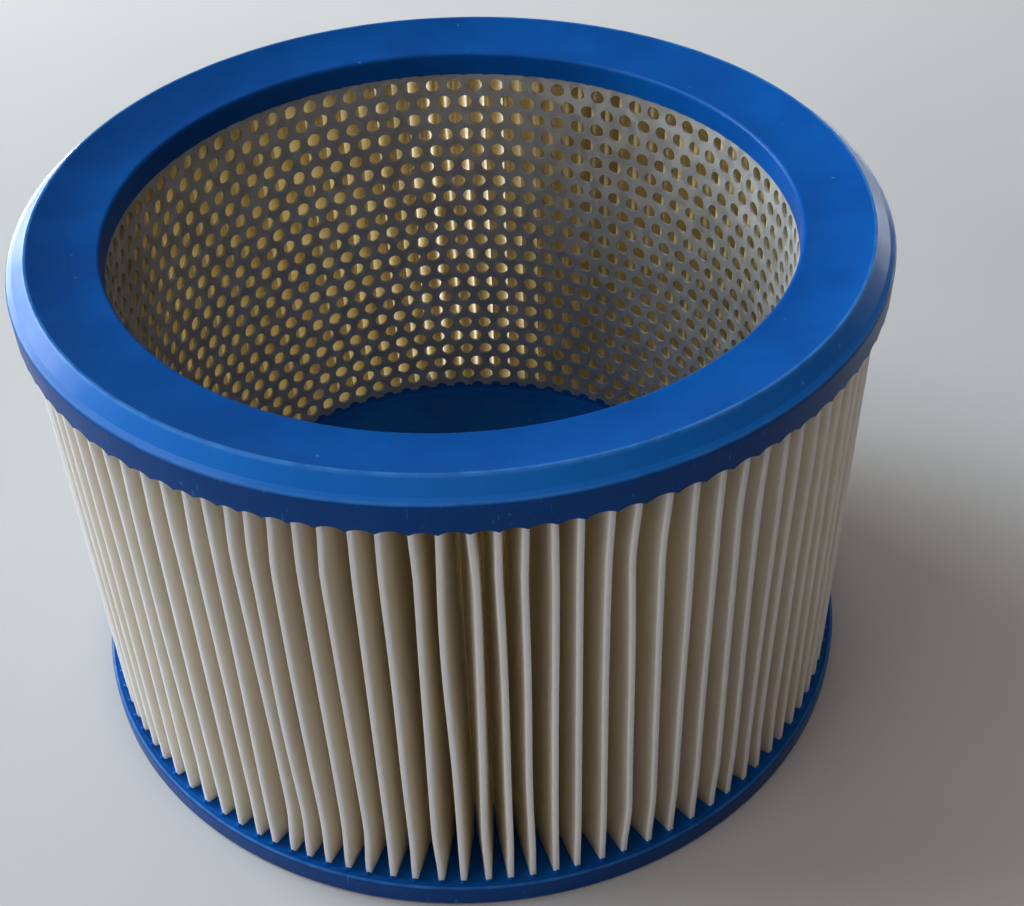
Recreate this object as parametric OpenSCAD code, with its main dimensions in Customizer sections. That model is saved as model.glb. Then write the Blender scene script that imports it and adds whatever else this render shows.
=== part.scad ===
/* [Overall size] */
// Outside diameter of both end pieces, in mm
outer_diameter = 210; // [190:1:230]
// Height from the underside of the bottom cap to the crest of the top ring, in mm
overall_height = 136.9; // [120:0.1:160]

/* [Top end ring] */
// Radius of the raised sealing crest, in mm
crest_radius = 99.9; // [96:0.1:101]
// Width of the small flat on top of the crest, in mm
crest_flat = 0.5; // [0.3:0.1:1.5]
// How far the outer edge lies below the crest, in mm
land_drop = 3.4; // [1:0.1:5]
// How far the inner edge lies below the crest, in mm
dish_drop = 3.3; // [1:0.1:5]
// Height of the outer side wall, in mm
top_skirt = 7.5; // [5:0.1:12]
// Radius of the opening, in mm
opening_radius = 83.4; // [80:0.1:83.4]
// How far the smooth inner wall reaches below the crest, in mm
inner_wall_depth = 9.6; // [7:0.1:12]

/* [Bottom end cap] */
// Height of the outer side wall, in mm
bottom_rim = 6.6; // [5:0.1:10]
// Height of the floor inside the core, in mm
floor_height = 13; // [9:0.1:16]
// Depth of the recess in the underside, in mm
recess_depth = 8; // [0.5:0.1:8]
// Radius of the recess in the underside, in mm
recess_radius = 75; // [40:1:80]

/* [Perforated core] */
// Inner radius of the core sheet, in mm
core_radius = 83.6; // [83.5:0.1:84]
// Thickness of the core sheet, in mm
core_sheet = 0.8; // [0.5:0.1:0.9]
// Diameter of each round hole, in mm
hole_diameter = 4; // [2:0.1:4.5]
// Number of holes in one row
holes_around = 87; // [60:1:90]
// Number of open rows of holes
hole_rows = 22; // [10:1:22]
// Height between two rows of holes, in mm
row_step = 5.22; // [5:0.02:5.22]

/* [Pleated media] */
// Number of pleats around the cartridge
pleats = 110; // [60:1:116]
// Outer radius of the pleat tips, in mm
tip_radius = 102.6; // [98:0.1:103]
// Thickness of the fleece, in mm
fleece = 0.75; // [0.4:0.05:0.8]
// Outside radius of each fold, in mm
fold_radius = 0.8; // [0.8:0.05:0.95]
// How uneven the spacing of the pleats is, 1 as made and 0 even
unevenness = 1; // [0:0.1:1]

/* [Hidden] */

ro = outer_diameter / 2;
z_crest = overall_height;
z_outer = z_crest - land_drop;       // upper outer edge of the top ring
z_inner = z_crest - dish_drop;       // upper inner edge of the top ring
z_wall = z_crest - inner_wall_depth; // lower end of the smooth inner wall
z_skirt = z_outer - top_skirt;       // mean height of the scalloped edge
z_media = [3, z_crest - 5.9];        // the fleece is potted at both ends
z_core = [6, z_crest - 5.4];         // and so is the core
z_row0 = 14.1;                       // centre of the lowest row of holes
fold_in = core_radius + core_sheet + 0.2 + fold_radius; // centre of an inner fold
fold_out = tip_radius - fold_radius;                    // centre of an outer fold

function at(r, a) = [r * cos(a), r * sin(a)];

// Azimuth of the tip of pleat i. Hand-set folds are never even: a few sine
// waves that close after one turn move the tips by a degree or so.
function tip(i) = let (t = i * 360 / pleats)
    -88.9 + t + unevenness * (0.83 * sin(2 * t - 69) + 0.91 * sin(4 * t - 127)
    + 0.26 * sin(6 * t - 7) + 0.46 * sin(10 * t + 111) + 0.14 * sin(48 * t + 31));
// Azimuth of the valley between pleat i and the next one
function valley(i) = (tip(i) + tip(i + 1)) / 2;
// Half of the angle between the same two tips
function half_pitch(i) = (tip(i + 1) - tip(i)) / 2;

// Angle of the normal of the flank between the fold centres p and q, where
// side is 1 if q lies at the larger azimuth and -1 if at the smaller one
function flank(p, q, side) = let (
    u = (q - p) / norm(q - p),
    s = (2 * fold_radius - fleece) / norm(q - p),
    n = s * u + side * sqrt(1 - s * s) * [u[1], -u[0]]
) atan2(n[1], n[0]);
// The angle b brought within half a turn of the angle a
function near(b, a) = b - 360 * round((b - a) / 360);
// Points of an arc about c with radius r from angle a to angle b
function arc(c, r, a, b, n) = [for (k = [0 : n]) c + at(r, a + (b - a) * k / n)];

// One face of the fleece, all the way round. With r_tip > r_root it is the
// outward face, otherwise the face towards the core.
function face_line(r_tip, r_root) = [for (i = [0 : pleats - 1])
    let (a = tip(i), b = valley(i), p = at(fold_out, a),
        q0 = at(fold_in, valley(i - 1)), q1 = at(fold_in, b), p1 = at(fold_out, tip(i + 1)),
        a0 = near(flank(p, q0, -1), a), a1 = near(flank(p, q1, 1), a),
        b0 = near(a1 + 180, b + 180), b1 = near(flank(p1, q1, -1) + 180, b + 180))
    each concat(arc(p, r_tip, a0, a1, r_tip > r_root ? 4 : 1),
        arc(q1, r_root, b0, b1, r_tip > r_root ? 1 : 4))];

module fleece_outline() {
    f = face_line(fold_radius, fold_radius - fleece);
    g = face_line(fold_radius - fleece, fold_radius);
    n = len(f);
    m = len(g);
    polygon(concat(f, g), [[for (i = [0 : n - 1]) i], [for (i = [0 : m - 1]) n + i]]);
}

module fleece_body() {
    translate([0, 0, z_media[0]]) linear_extrude(z_media[1] - z_media[0]) fleece_outline();
}

// Outline with one flat for each hole in a row, r measured to the flats
function sheet_outline(r) = [for (i = [0 : holes_around - 1])
    at(r / cos(180 / holes_around), (i + 0.5) * 360 / holes_around)];

// The rows first to last, counted from the lowest open row. The holes of one
// row lie in the middle of the flats, those of the next row over the bends.
module hole_row_cutters(first, last) {
    for (k = [first : last]) for (j = [0 : holes_around - 1])
        rotate([0, 0, (j + (k % 2 == 0 ? 0 : 0.5)) * 360 / holes_around])
            translate([core_radius - 2, 0, z_row0 + k * row_step]) rotate([0, 90, 0])
                rotate([0, 0, 45]) cylinder(d = hole_diameter, h = core_sheet + 4, $fn = 24);
}

module core_body(first, last) {
    turn = 61.4;
    rotate([0, 0, turn]) difference() {
        translate([0, 0, z_core[0]]) linear_extrude(z_core[1] - z_core[0])
            polygon(sheet_outline(core_radius + core_sheet));
        translate([0, 0, z_core[0] - 1]) linear_extrude(z_core[1] - z_core[0] + 2)
            polygon(sheet_outline(core_radius));
        hole_row_cutters(first, last);
    }
}

// Soft arches in the edge of a potted end: one radial cutter over each valley.
// The cutter's radius follows the width of the valley. z is where the arches
// of two valleys meet, and dir is 1 if they open downwards.
module arches(z, dir, r0, r1, swell) {
    for (i = [0 : pleats - 1]) let (h = ro * sin(half_pitch(i)), r = swell * h)
        rotate([0, 0, valley(i)]) translate([r0, 0, z - dir * sqrt(r * r - h * h)])
            rotate([0, 90, 0]) rotate([0, 0, dir > 0 ? 0 : 180]) cylinder(r = r, h = r1 - r0, $fn = 48);
}

module top_end_ring() {
    half = crest_flat / 2;
    rim = 1.1;
    span = crest_radius - half - opening_radius - 1;
    color([0.06, 0.2, 0.55]) difference() {
        rotate_extrude($fn = 180) polygon(concat(
            [[opening_radius, z_wall], [opening_radius, z_inner - 0.95]],
            [for (k = [1 : 4]) [opening_radius + 1 - cos(k * 20), z_inner - 0.95 + sin(k * 20)]],
            [for (k = [1 : 8]) let (t = k / 8)
                [opening_radius + 1 + span * t, z_inner + 0.05 + (dish_drop - 0.05) * (0.35 * t + 0.65 * t * t)]],
            [[crest_radius + half, z_crest], [ro - 1.6, z_outer + 0.42]],
            [for (k = [0 : 4]) [ro - rim + rim * sin(25 + k * 16.25), z_outer - rim + rim * cos(25 + k * 16.25)]],
            [[ro, z_skirt - 0.4], [core_radius + core_sheet / 2, z_skirt - 0.4],
             [core_radius + core_sheet / 2, z_wall]]));
        core_body(22, 22);
        fleece_body();
        arches(z_skirt - 0.5, 1, core_radius - 3, ro + 3, 1.727);
    }
}

module bottom_end_cap() {
    r_step = ro - 1.6;
    z_land = bottom_rim - 0.15;
    r_core = core_radius + core_sheet;
    color([0.05, 0.17, 0.5]) difference() {
        union() {
            // Floor between the pleats, with a peak at the foot of each pleat
            difference() {
                rotate_extrude($fn = 180) polygon([
                    [0, recess_depth], [recess_radius - 1.5, recess_depth], [recess_radius - 0.6, recess_depth - 0.9],
                    [recess_radius + 0.2, 0.3], [r_step, 0.3], [r_step, bottom_rim + 0.9],
                    [r_core + 3.6, bottom_rim + 0.9], [r_core + 0.1, bottom_rim + 10],
                    [r_core - core_sheet / 2, bottom_rim + 10], [core_radius - 0.1, floor_height + 1],
                    [core_radius - 0.4, floor_height + 0.35], [core_radius - 1.4, floor_height], [0, floor_height]]);
                arches(bottom_rim + 0.55, -1, r_core + 3.2, ro + 2, 1.6);
            }
            // Base with the low outer bead
            rotate_extrude($fn = 180) polygon([
                [recess_radius + 0.2, 0.4], [recess_radius + 0.6, 0], [ro - 1, 0], [ro - 0.29, 0.29], [ro, 1],
                [ro, bottom_rim - 0.7], [ro - 0.2, bottom_rim - 0.2], [ro - 0.7, bottom_rim],
                [ro - 1.3, z_land], [ro - 2.1, z_land], [ro - 2.1, 2], [recess_radius + 0.2, 2]]);
        }
        core_body(0, 0);
        fleece_body();
    }
}

module pleated_media() {
    color([0.8, 0.76, 0.66]) fleece_body();
}

module inner_core() {
    color([0.55, 0.55, 0.53]) core_body(0, hole_rows);
}

top_end_ring();
bottom_end_cap();
pleated_media();
inner_core();
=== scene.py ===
import bpy
import math
import numpy as np
from mathutils import Matrix, Vector


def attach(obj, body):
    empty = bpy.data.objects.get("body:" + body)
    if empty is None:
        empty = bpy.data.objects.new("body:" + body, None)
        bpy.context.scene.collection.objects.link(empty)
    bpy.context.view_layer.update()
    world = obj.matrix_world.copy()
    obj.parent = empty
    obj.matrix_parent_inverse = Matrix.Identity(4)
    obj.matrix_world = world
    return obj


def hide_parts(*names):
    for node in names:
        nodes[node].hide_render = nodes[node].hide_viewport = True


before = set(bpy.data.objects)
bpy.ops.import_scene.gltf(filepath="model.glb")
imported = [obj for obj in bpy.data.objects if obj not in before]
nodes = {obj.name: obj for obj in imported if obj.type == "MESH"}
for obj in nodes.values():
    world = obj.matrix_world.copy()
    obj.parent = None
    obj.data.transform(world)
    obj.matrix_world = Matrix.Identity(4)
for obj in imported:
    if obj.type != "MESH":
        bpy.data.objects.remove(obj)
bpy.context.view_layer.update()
scene = bpy.context.scene
MM = 0.001

# ---------------------------------------------------------------- camera
# Fitted to the rings and to the grid of core holes, in millimetres.
F_PX, ELEV, DIST = 1505.64, math.radians(38.058), 398.42
AIM = Vector((0, 0, 79.46))
AIM_PX = (461.54, 386.40)
ROLL = math.radians(3.083)


def make_camera():
    back = Vector((0, -math.cos(ELEV), math.sin(ELEV)))
    right, up = Vector((1, 0, 0)), Vector((0, math.sin(ELEV), math.cos(ELEV)))
    c, s = math.cos(ROLL), math.sin(ROLL)
    rows = Matrix((c * right - s * up, s * right + c * up, -back))
    d = Vector(((AIM_PX[0] - 512) / F_PX, -(AIM_PX[1] - 453) / F_PX, 1)).normalized()
    turn = Vector((0, 0, 1)).rotation_difference(d).to_matrix()
    rows = turn @ rows
    x, y, z = rows[0], rows[1], -rows[2]
    place = (AIM + back * DIST) * MM
    cam = bpy.data.objects.new("camera", bpy.data.cameras.new("camera"))
    cam.matrix_world = Matrix((
        (x[0], y[0], z[0], place[0]),
        (x[1], y[1], z[1], place[1]),
        (x[2], y[2], z[2], place[2]),
        (0, 0, 0, 1),
    ))
    cam.data.sensor_width = 36
    cam.data.lens = F_PX * 36 / 1024
    cam.data.clip_start, cam.data.clip_end = 0.01, 50
    scene.collection.objects.link(cam)
    scene.camera = cam


make_camera()


# ---------------------------------------------------------------- node helpers
class Tree:
    """A short way to write a material's nodes."""

    def __init__(self, name):
        self.mat = bpy.data.materials.new(name)
        self.mat.use_nodes = True
        self.nt = self.mat.node_tree
        self.nt.nodes.clear()

    def add(self, kind, inputs=None, **props):
        n = self.nt.nodes.new(kind)
        for k, v in props.items():
            setattr(n, k, v)
        for k, v in (inputs or {}).items():
            socket = n.inputs[k]
            if isinstance(v, bpy.types.NodeSocket):
                self.nt.links.new(v, socket)
            else:
                socket.default_value = v
        return n

    def math(self, op, a, b=0.0, c=None):
        ins = {0: a, 1: b}
        if c is not None:
            ins[2] = c
        return self.add("ShaderNodeMath", ins, operation=op).outputs[0]

    def ramp(self, x, lo, hi, a=0.0, b=1.0, kind="SMOOTHSTEP"):
        return self.add("ShaderNodeMapRange", {"Value": x, "From Min": lo, "From Max": hi, "To Min": a, "To Max": b},
                        interpolation_type=kind).outputs["Result"]

    def mix(self, f, a, b):
        n = self.add("ShaderNodeMix", data_type="RGBA")
        for k, v in ((0, f), (6, a), (7, b)):
            if isinstance(v, bpy.types.NodeSocket):
                self.nt.links.new(v, n.inputs[k])
            else:
                n.inputs[k].default_value = v if k == 0 else (*v, 1.0)
        return n.outputs[2]

    def noise(self, vector, scale, detail=2.0, rough=0.5, distortion=0.0):
        return self.add("ShaderNodeTexNoise", {"Vector": vector, "Scale": scale, "Detail": detail,
                                               "Roughness": rough, "Distortion": distortion}).outputs["Fac"]

    def place(self):
        """Object position, radius from the axis, height, and a vector of arc length, radius and height, all in metres."""
        p = self.add("ShaderNodeTexCoord").outputs["Object"]
        s = self.add("ShaderNodeSeparateXYZ", {0: p})
        x, y, z = s.outputs
        r = self.math("SQRT", self.math("ADD", self.math("MULTIPLY", x, x), self.math("MULTIPLY", y, y)))
        angle = self.math("ARCTAN2", y, x)
        around = self.math("MULTIPLY", angle, 0.1)
        cyl = self.add("ShaderNodeCombineXYZ", {0: around, 1: r, 2: z}).outputs[0]
        return p, r, z, cyl

    def bump(self, height, strength, distance, normal=None):
        ins = {"Height": height, "Strength": strength, "Distance": distance}
        if normal is not None:
            ins["Normal"] = normal
        return self.add("ShaderNodeBump", ins).outputs[0]

    def scaled(self, vector, x, y, z):
        return self.add("ShaderNodeMapping", {"Vector": vector, "Scale": (x, y, z)}).outputs[0]

    def finish(self, shader):
        out = self.add("ShaderNodeOutputMaterial")
        self.nt.links.new(shader, out.inputs["Surface"])
        return self.mat


def polyurethane(name, deep, lit):
    t = Tree(name)
    p, r, z, cyl = t.place()
    # broad cloudy change of the blue, as cast material has
    cloud = t.noise(p, 38, 3, 0.55)
    colour = t.mix(t.ramp(cloud, 0.30, 0.72), deep, lit)
    # short flow marks down the outer wall
    streak = t.noise(t.scaled(cyl, 1300, 60, 260), 1.0, 1, 0.5)
    wall = t.ramp(r, 0.1042, 0.1048)
    over = t.ramp(z, 0.1325, 0.1336)
    # painted sheen: the top land between the crest and the outer edge is mixed towards a lighter blue
    painted_land_sheen = t.math("MULTIPLY", t.ramp(r, 0.0996, 0.1004), over)
    colour = t.mix(t.math("MULTIPLY", painted_land_sheen, 0.75), colour, (0.007, 0.135, 0.480))
    # painted shade: the outer side wall below the top edge is darkened towards navy
    painted_wall_shade = t.math("MULTIPLY", wall, t.ramp(z, 0.1325, 0.1336, 1.0, 0.0))
    colour = t.mix(t.math("MULTIPLY", painted_wall_shade, 0.70), colour, (0.0004, 0.026, 0.132))
    # painted highlight: thin lighter blue lines along the crest, the outer edge and the bead of the cap, broken up by
    # noise
    edge_highlight_breakup = t.ramp(t.noise(t.scaled(cyl, 170, 170, 170), 1.0, 3, 0.6), 0.30, 0.62, 0.35, 1.0)
    crest = t.math("MULTIPLY", t.ramp(z, 0.13635, 0.13675), t.ramp(r, 0.0993, 0.0997))
    rim = t.math("MULTIPLY", t.math("MULTIPLY", t.ramp(z, 0.1328, 0.1331), t.ramp(z, 0.1333, 0.1335, 1.0, 0.0)),
                 t.ramp(r, 0.1036, 0.1041))
    bead = t.math("MULTIPLY", t.math("MULTIPLY", t.ramp(z, 0.0061, 0.0064), t.ramp(z, 0.0066, 0.0068, 1.0, 0.0)),
                  t.ramp(r, 0.1040, 0.1043))
    edge = t.math("MAXIMUM", t.math("MULTIPLY", crest, 0.60), t.math("MAXIMUM", t.math("MULTIPLY", rim, 0.35),
                                                                     t.math("MULTIPLY", bead, 0.35)))
    # the painted highlight is mixed into these edges here
    colour = t.mix(t.math("MULTIPLY", edge, edge_highlight_breakup), colour, (0.060, 0.235, 0.560))
    marks = t.math("MULTIPLY", t.ramp(streak, 0.70, 0.78), wall)
    colour = t.mix(t.math("MULTIPLY", marks, 0.55), colour, (0.02, 0.20, 0.45))
    # pale specks and pin bubbles
    cells = t.add("ShaderNodeTexVoronoi", {"Vector": p, "Scale": 210.0, "Randomness": 1.0}, feature="F1")
    rare = t.ramp(t.noise(p, 160, 1), 0.60, 0.66)
    speck = t.math("MULTIPLY", t.ramp(cells.outputs["Distance"], 0.05, 0.12, 1.0, 0.0), rare)
    colour = t.mix(t.math("MULTIPLY", speck, 0.5), colour, (0.10, 0.25, 0.52))
    rough = t.math("ADD", t.ramp(t.noise(p, 90, 3, 0.6), 0.3, 0.75, 0.30, 0.38, "LINEAR"),
                   t.math("MULTIPLY", marks, 0.12))
    wave = t.noise(p, 55, 1, 0.5)
    fine = t.noise(p, 900, 0, 0.6)
    n1 = t.bump(wave, 0.35, 0.0012)
    n2 = t.bump(fine, 0.12, 0.00012, n1)
    shader = t.add("ShaderNodeBsdfPrincipled", {"Base Color": colour, "Roughness": rough, "Normal": n2,
                                                "IOR": 1.45, "Specular IOR Level": 0.12})
    return t.finish(shader.outputs[0])


def fleece(name, inner, middle, outer):
    t = Tree(name)
    p, r, z, cyl = t.place()
    # cream on the flanks, paler and cooler on the outer folds, warmer deep inside; the mustard deep inside is painted
    # warm glow of light passed through the fleece
    deep = t.ramp(r, 0.0852, 0.0900)
    colour = t.mix(deep, inner, middle)
    colour = t.mix(t.ramp(r, 0.0945, 0.1005), colour, outer)
    # painted cool skylight: the fold tops are turned bluish grey and a little darker
    ridge = t.ramp(r, 0.1022, 0.1024)
    colour = t.mix(ridge, colour, (0.80, 0.81, 0.84))
    blotch = t.noise(t.scaled(cyl, 40, 40, 14), 1.0, 1, 0.6)
    colour = t.mix(t.math("MULTIPLY", t.ramp(blotch, 0.42, 0.75), 0.16), colour, (0.74, 0.66, 0.52))
    # loose fibres
    fibre = t.noise(t.scaled(cyl, 2600, 2600, 700), 1.0, 1, 0.65)
    colour = t.mix(t.ramp(fibre, 0.3, 0.75, 0.0, 0.16), colour, (0.93, 0.90, 0.84))
    n1 = t.bump(fibre, 0.35, 0.00012)
    n2 = t.bump(t.noise(t.scaled(cyl, 120, 120, 45), 1.0, 0), 0.3, 0.0006, n1)
    solid = t.add("ShaderNodeBsdfPrincipled", {"Base Color": colour, "Roughness": 0.92, "Normal": n2,
                                               "Specular IOR Level": 0.2, "Sheen Weight": 0.15,
                                               "Sheen Roughness": 0.5})
    thin = t.add("ShaderNodeBsdfTranslucent", {"Color": colour, "Normal": n2})
    # the pressed folds let less light through than the flanks
    share = t.math("MULTIPLY", t.ramp(r, 0.1017, 0.1022, 0.70, 0.36), t.ramp(r, 0.0854, 0.0880, 0.50, 1.0))
    both = t.add("ShaderNodeMixShader", {"Fac": share, 1: solid.outputs[0], 2: thin.outputs[0]})
    return t.finish(both.outputs[0])


def galvanised():
    t = Tree("galvanised")
    p, r, z, cyl = t.place()
    spangle = t.add("ShaderNodeTexVoronoi", {"Vector": t.scaled(cyl, 260, 260, 260), "Scale": 1.0}, feature="F1")
    tone = t.add("ShaderNodeSeparateColor", {0: spangle.outputs["Color"]}).outputs[0]
    colour = t.mix(tone, (0.385, 0.38, 0.355), (0.53, 0.525, 0.49))
    haze = t.noise(p, 45, 1, 0.6)
    colour = t.mix(t.ramp(haze, 0.4, 0.7, 0.0, 0.5), colour, (0.35, 0.34, 0.30))
    scratch = t.noise(t.scaled(cyl, 90, 90, 2400), 1.0, 1, 0.6)
    rough = t.math("ADD", t.ramp(tone, 0, 1, 0.42, 0.56, "LINEAR"), t.ramp(scratch, 0.45, 0.7, 0.0, 0.12))
    n1 = t.bump(scratch, 0.08, 0.0001)
    n2 = t.bump(haze, 0.1, 0.0008, n1)
    shader = t.add("ShaderNodeBsdfPrincipled", {"Base Color": colour, "Metallic": 0.45, "Roughness": rough,
                                                "Normal": n2})
    return t.finish(shader.outputs[0])


def wear(obj, mat):
    if not obj.material_slots:
        obj.data.materials.append(mat)
    for s in obj.material_slots:
        s.material = mat


blue = polyurethane("polyurethane", (0.0010, 0.062, 0.272), (0.0013, 0.083, 0.340))
wear(nodes["top_end_ring"], blue)
wear(nodes["bottom_end_cap"], blue)
wear(nodes["inner_core"], galvanised())

# ---------------------------------------------------------------- pleated fleece
# The same folds as the CAD strip has at both potted ends. Between them each
# pleat leans and bows a little, and its flanks are slightly crowned.
PLEATS, TIP_R, FOLD, THICK, ROOT_R = 110, 102.6, 0.8, 0.75, 85.4
Z0, Z1, FREE0, FREE1 = 3.0, 131.0, 7.4, 125.2


def tip(i):
    t = i * 360.0 / PLEATS
    sn = lambda a: np.sin(np.radians(a))
    return (-88.9 + t + 0.83 * sn(2 * t - 69) + 0.91 * sn(4 * t - 127) + 0.26 * sn(6 * t - 7)
            + 0.46 * sn(10 * t + 111) + 0.14 * sn(48 * t + 31))


def pleat_rows(z, rng_shape):
    """Fold centres at the heights z, of shape (heights, pleats, 2), and the crown of each flank."""
    lean, bow, wave, tuck, crown = rng_shape
    i = np.arange(PLEATS)
    u = np.clip((z - FREE0) / (FREE1 - FREE0), 0, 1)[:, None]
    hold = np.clip(np.minimum(u, 1 - u) / 0.16, 0, 1)
    hold = hold * hold * (3 - 2 * hold)
    shift = hold * (lean * (u - 0.5) * 2 + wave * np.sin(2 * np.pi * u * 1.5 + lean * 9)) + bow * np.sin(np.pi * u)
    a = np.radians(tip(i)[None, :] + shift)
    b = np.radians((tip(i) + tip(i + 1))[None, :] / 2 + 0.12 * hold * np.roll(lean, -1))
    rt = TIP_R - FOLD - tuck * np.sin(np.pi * u) ** 2
    p = np.stack([rt * np.cos(a), rt * np.sin(a)], -1)
    q = np.stack([ROOT_R * np.cos(b), ROOT_R * np.sin(b)], -1)
    return p, q, crown * np.sin(np.pi * u) ** 0.6


def normal_angle(p, q, side):
    d = q - p
    length = np.linalg.norm(d, axis=-1, keepdims=True)
    u = d / length
    s = (2 * FOLD - THICK) / length
    n = s * u + side * np.sqrt(1 - s * s) * np.stack([u[..., 1], -u[..., 0]], -1)
    return np.arctan2(n[..., 1], n[..., 0])


def near(b, a):
    return b - 2 * np.pi * np.round((b - a) / (2 * np.pi))


def face_loop(p, q, crown, r_tip, r_root, n_tip, n_root, n_flank):
    """One face of the strip at each height: (heights, points round, 2)."""
    p1, q0 = np.roll(p, -1, 1), np.roll(q, 1, 1)
    mid_a = np.arctan2(p[..., 1], p[..., 0])
    mid_b = np.arctan2(q[..., 1], q[..., 0]) + np.pi
    a0, a1 = near(normal_angle(p, q0, -1), mid_a), near(normal_angle(p, q, 1), mid_a)
    b0, b1 = near(a1 + np.pi, mid_b), near(normal_angle(p1, q, -1) + np.pi, mid_b)
    out = []

    def arc(c, r, s0, s1, n, square=2.0):
        # square 2 is a round fold, more is a fold pressed flat at its top
        for k in range(n + 1):
            s, t = s0 + (s1 - s0) * k / n, math.pi * (k / n - 0.5)
            rho = (abs(math.cos(t)) ** square + abs(math.sin(t)) ** square) ** (-1 / square)
            out.append(c + r * rho * np.stack([np.cos(s), np.sin(s)], -1))

    def flank(s, e, ang, sign):
        nrm = np.stack([np.cos(ang), np.sin(ang)], -1)
        for k in range(1, n_flank + 1):
            f = k / (n_flank + 1)
            out.append(s + (e - s) * f + nrm * (sign * crown * math.sin(math.pi * f))[..., None])

    arc(p, r_tip, a0, a1, n_tip, 3.4 if n_tip > 4 else 2.0)
    s = out[-1]
    e = q + r_root * np.stack([np.cos(b0), np.sin(b0)], -1)
    flank(s, e, a1, 1.0)
    arc(q, r_root, b0, b1, n_root)
    s = out[-1]
    c0n = near(normal_angle(p1, q, -1), np.arctan2(p1[..., 1], p1[..., 0]))
    e = p1 + r_tip * np.stack([np.cos(c0n), np.sin(c0n)], -1)
    flank(s, e, c0n, -0.6)
    pts = np.stack(out, 2)
    return pts.reshape(pts.shape[0], -1, 2)


def make_fleece():
    rng = np.random.default_rng(7)
    lean = rng.normal(0, 0.34, PLEATS)
    # lean of the pleats in front, from the left to the right of the view
    seen = {-13: -0.1, -12: -0.25, -11: -0.35, -10: 0.0, -9: -0.8, -8: -0.62, -7: -0.6, -6: -0.45, -5: -0.7,
            -4: -0.15, -3: -0.15, -2: 0.4, -1: -0.2, 0: 0.45, 1: -0.12, 2: -0.1, 3: 0.12, 4: -0.12, 5: -0.25,
            6: -0.8, 7: -0.65, 8: -0.25, 9: -0.25, 10: -0.65, 11: -0.5, 12: 0.15, 13: 0.35, 14: 0.55}
    for k, v in seen.items():
        lean[k % PLEATS] = v
    bow = rng.normal(0, 0.20, PLEATS)
    wave = rng.normal(0, 0.06, PLEATS)
    tuck = np.abs(rng.normal(0, 0.06, PLEATS))
    crown = 0.16 + 0.07 * rng.normal(0, 1, PLEATS)
    shape = (lean, bow, wave, tuck, crown)
    za = np.concatenate([[Z0], np.linspace(FREE0 - 1.5, FREE1 + 1.0, 24), [Z1]])
    zb = np.concatenate([[Z0], np.linspace(FREE0 - 1.5, FREE1 + 1.0, 13), [Z1]])
    loops = []
    for z, args in ((za, (FOLD, FOLD - THICK, 8, 2, 3)), (zb, (FOLD - THICK, FOLD, 2, 8, 3))):
        p, q, c = pleat_rows(z, shape)
        xy = face_loop(p, q, c, *args)
        loops.append(np.concatenate([xy, np.broadcast_to(z[:, None, None], (*xy.shape[:2], 1))], -1))
    a, b = loops
    na, nb, n = len(za), len(zb), a.shape[1]
    verts = np.concatenate([a.reshape(-1, 3), b.reshape(-1, 3)]) * MM
    k, nxt = np.arange(n), (np.arange(n) + 1) % n
    quads = []
    for row in range(na - 1):
        lo, hi = row * n, (row + 1) * n
        quads.append(np.stack([lo + k, lo + nxt, hi + nxt, hi + k], -1))
    off = na * n
    for row in range(nb - 1):
        lo, hi = off + row * n, off + (row + 1) * n
        quads.append(np.stack([lo + k, hi + k, hi + nxt, lo + nxt], -1))
    quads.append(np.stack([k, off + k, off + nxt, nxt], -1))
    ta, tb = (na - 1) * n, off + (nb - 1) * n
    quads.append(np.stack([ta + k, ta + nxt, tb + nxt, tb + k], -1))
    faces = np.concatenate(quads)
    me = bpy.data.meshes.new("fleece_pleats")
    me.from_pydata(verts.tolist(), [], faces.tolist())
    me.polygons.foreach_set("use_smooth", np.ones(len(me.polygons), bool))
    me.update()
    ob = bpy.data.objects.new("fleece_pleats", me)
    scene.collection.objects.link(ob)
    # the face towards the core is yellower than the one that is seen from outside; this mustard is painted warm glow
    # of light passed through the fleece
    ob.data.materials.append(fleece("fleece", (0.95, 0.82, 0.56), (0.92, 0.90, 0.85), (0.865, 0.84, 0.80)))
    ob.data.materials.append(fleece("fleece_inner_face", (0.94, 0.79, 0.38), (0.94, 0.845, 0.55), (0.94, 0.89, 0.76)))
    sides = np.zeros(len(faces), int)
    sides[(na - 1) * n:(na + nb - 2) * n] = 1
    me.polygons.foreach_set("material_index", sides)
    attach(ob, "root")
    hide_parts("pleated_media")
    # one strip, 128 mm wide, folded 110 times
    return ob


make_fleece()

# ---------------------------------------------------------------- floor and light


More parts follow.
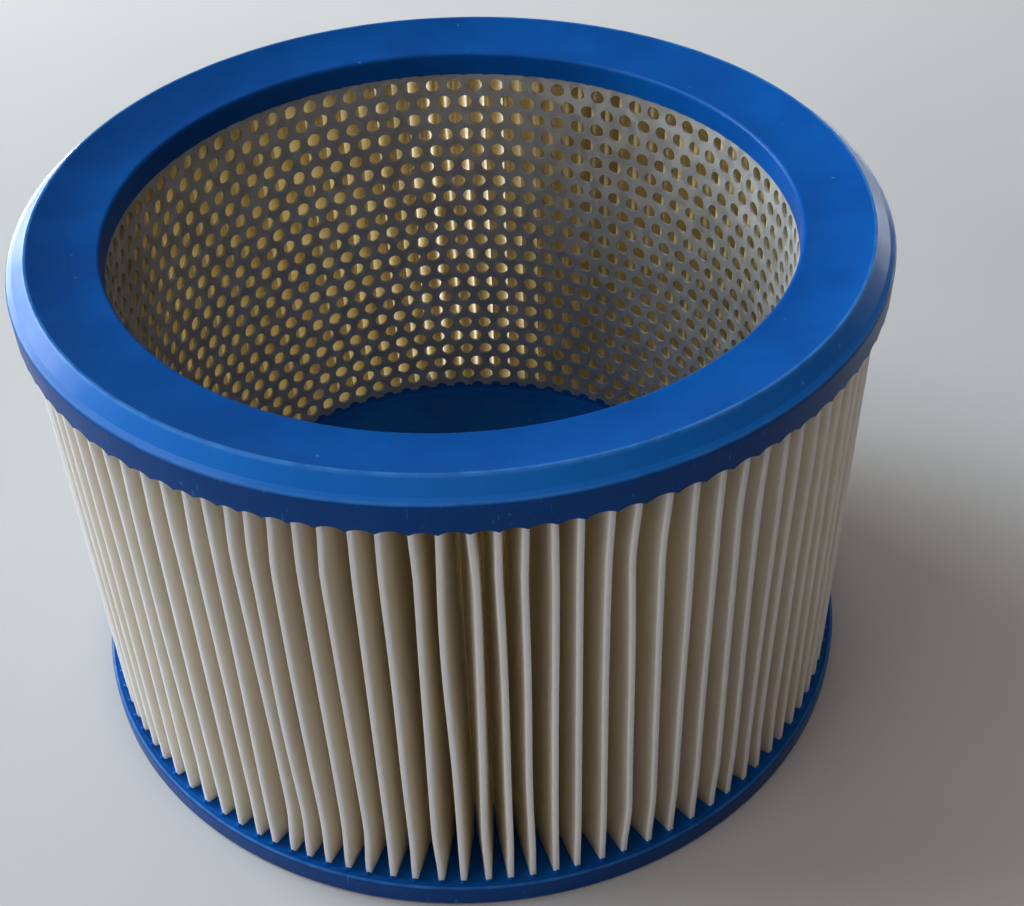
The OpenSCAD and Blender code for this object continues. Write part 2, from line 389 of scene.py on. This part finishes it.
def make_floor():
    t = Tree("floor")
    p = t.add("ShaderNodeTexCoord").outputs["Object"]
    tone = t.noise(p, 3.0, 3, 0.6)
    colour = t.mix(t.ramp(tone, 0.3, 0.7), (0.49, 0.485, 0.475), (0.52, 0.515, 0.505))
    shader = t.add("ShaderNodeBsdfPrincipled", {"Base Color": colour, "Roughness": 0.85,
                                                "Specular IOR Level": 0.2})
    mat = t.finish(shader.outputs[0])
    me = bpy.data.meshes.new("floor")
    s = 6.0
    me.from_pydata([(-s, -s, 0), (s, -s, 0), (s, s, 0), (-s, s, 0)], [], [(0, 1, 2, 3)])
    ob = bpy.data.objects.new("floor", me)
    me.materials.append(mat)
    scene.collection.objects.link(ob)


def area(name, place, aim, size, power, colour):
    data = bpy.data.lights.new(name, "AREA")
    data.shape = "RECTANGLE"
    data.size, data.size_y = size
    data.energy = power
    data.color = colour
    ob = bpy.data.objects.new(name, data)
    ob.location = place
    ob.rotation_mode = "QUATERNION"
    ob.rotation_quaternion = (Vector(aim) - Vector(place)).to_track_quat("-Z", "Y")
    ob.visible_camera = False
    scene.collection.objects.link(ob)


make_floor()
area("window", (-3.30, 2.20, 1.20), (0, 0, 0.07), (2.4, 1.6), 172, (0.87, 1.0, 1.11))
area("window_front", (-3.40, -2.05, 1.00), (0, 0, 0.07), (2.4, 2.0), 56, (1.0, 1.0, 1.07))
area("ceiling_left", (-1.90, 0.60, 2.45), (0, 0, 0.1), (1.6, 1.6), 53, (0.86, 1.0, 1.13))
area("ceiling", (-0.20, -1.00, 2.80), (0, 0, 0.1), (1.8, 1.4), 9, (1.0, 1.0, 1.0))
area("behind", (-0.30, 1.20, 0.085), (0, 0, 0.075), (1.5, 0.09), 21, (0.98, 1.0, 1.0))
area("behind_right", (0.85, 0.95, 0.085), (0, 0, 0.075), (0.9, 0.09), 3, (0.97, 1.0, 1.02))

world = bpy.data.worlds.new("world")
scene.world = world
world.use_nodes = True
world.node_tree.nodes["Background"].inputs[0].default_value = (1.0, 0.80, 0.69, 1)
world.node_tree.nodes["Background"].inputs[1].default_value = 0.165

scene.view_settings.view_transform = "Standard"
scene.view_settings.look = "None"
scene.view_settings.exposure = 0.0
